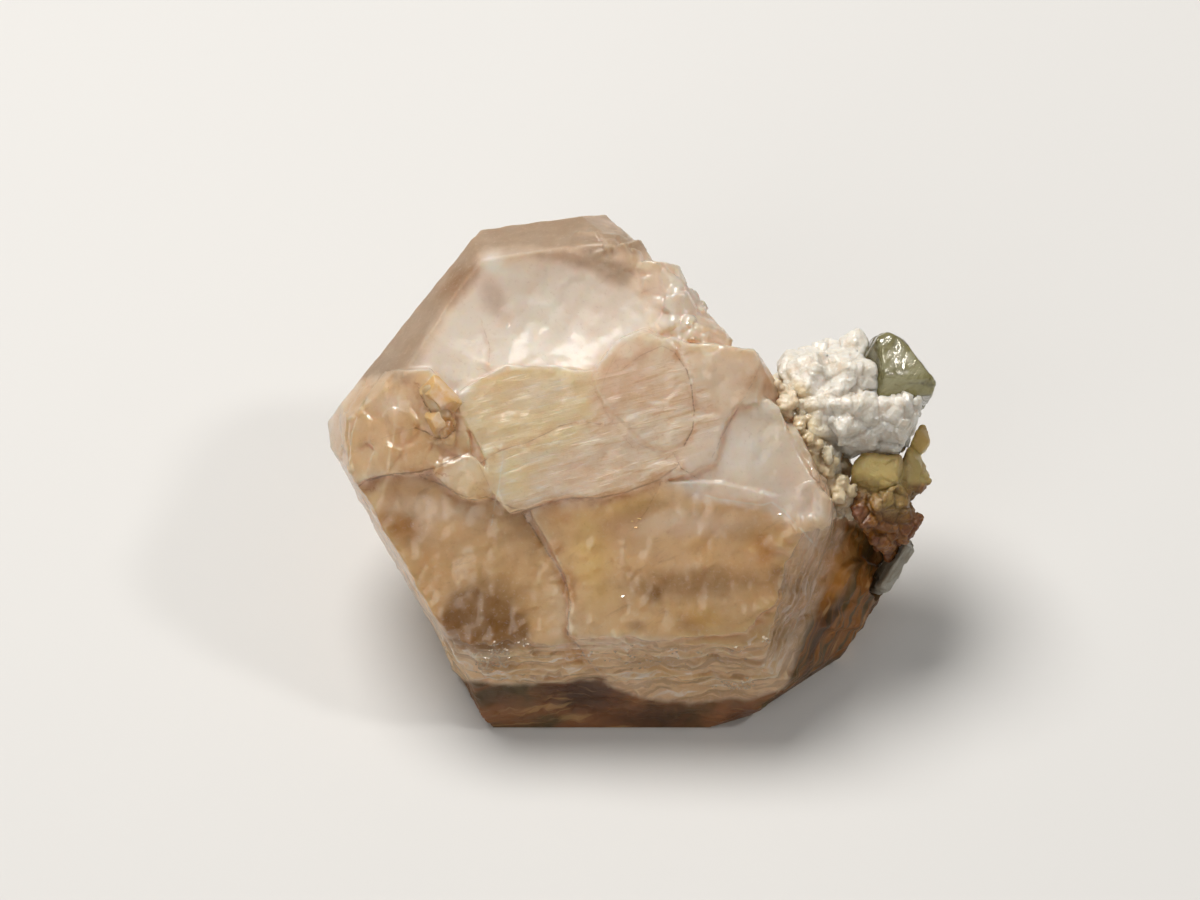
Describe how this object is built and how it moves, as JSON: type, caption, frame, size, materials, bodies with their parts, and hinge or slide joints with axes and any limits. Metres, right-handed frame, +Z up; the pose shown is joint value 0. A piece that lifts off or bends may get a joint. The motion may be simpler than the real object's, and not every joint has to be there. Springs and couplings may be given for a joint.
{
  "type": "apatite crystal",
  "caption": "Stubby, cloudy pink-beige mineral crystal with white feldspar and iron-stained grains on its right flank, resting on its broken base.",
  "frame": {"origin": "on the table, under the middle of the specimen's outer size", "axes": "+X to the right, towards the feldspar; +Y to the back; +Z up from the flat broken base; the broad face looks up and forward, 40 degrees from level"},
  "size_m": [0.0308, 0.0204, 0.0203],
  "materials": {
    "pink_apatite": "satin",
    "white_feldspar": "satin",
    "green_crystal": "gloss",
    "iron_stained_grains": "satin",
    "pale_blade": "satin"
  },
  "bodies": {
    "root": {"apatite_crystal": "pink_apatite", "feldspar_matrix": "white_feldspar", "green_crystal": "green_crystal", "iron_stained_cluster": "iron_stained_grains", "pale_blade": "pale_blade"}
  },
  "joints": []
}
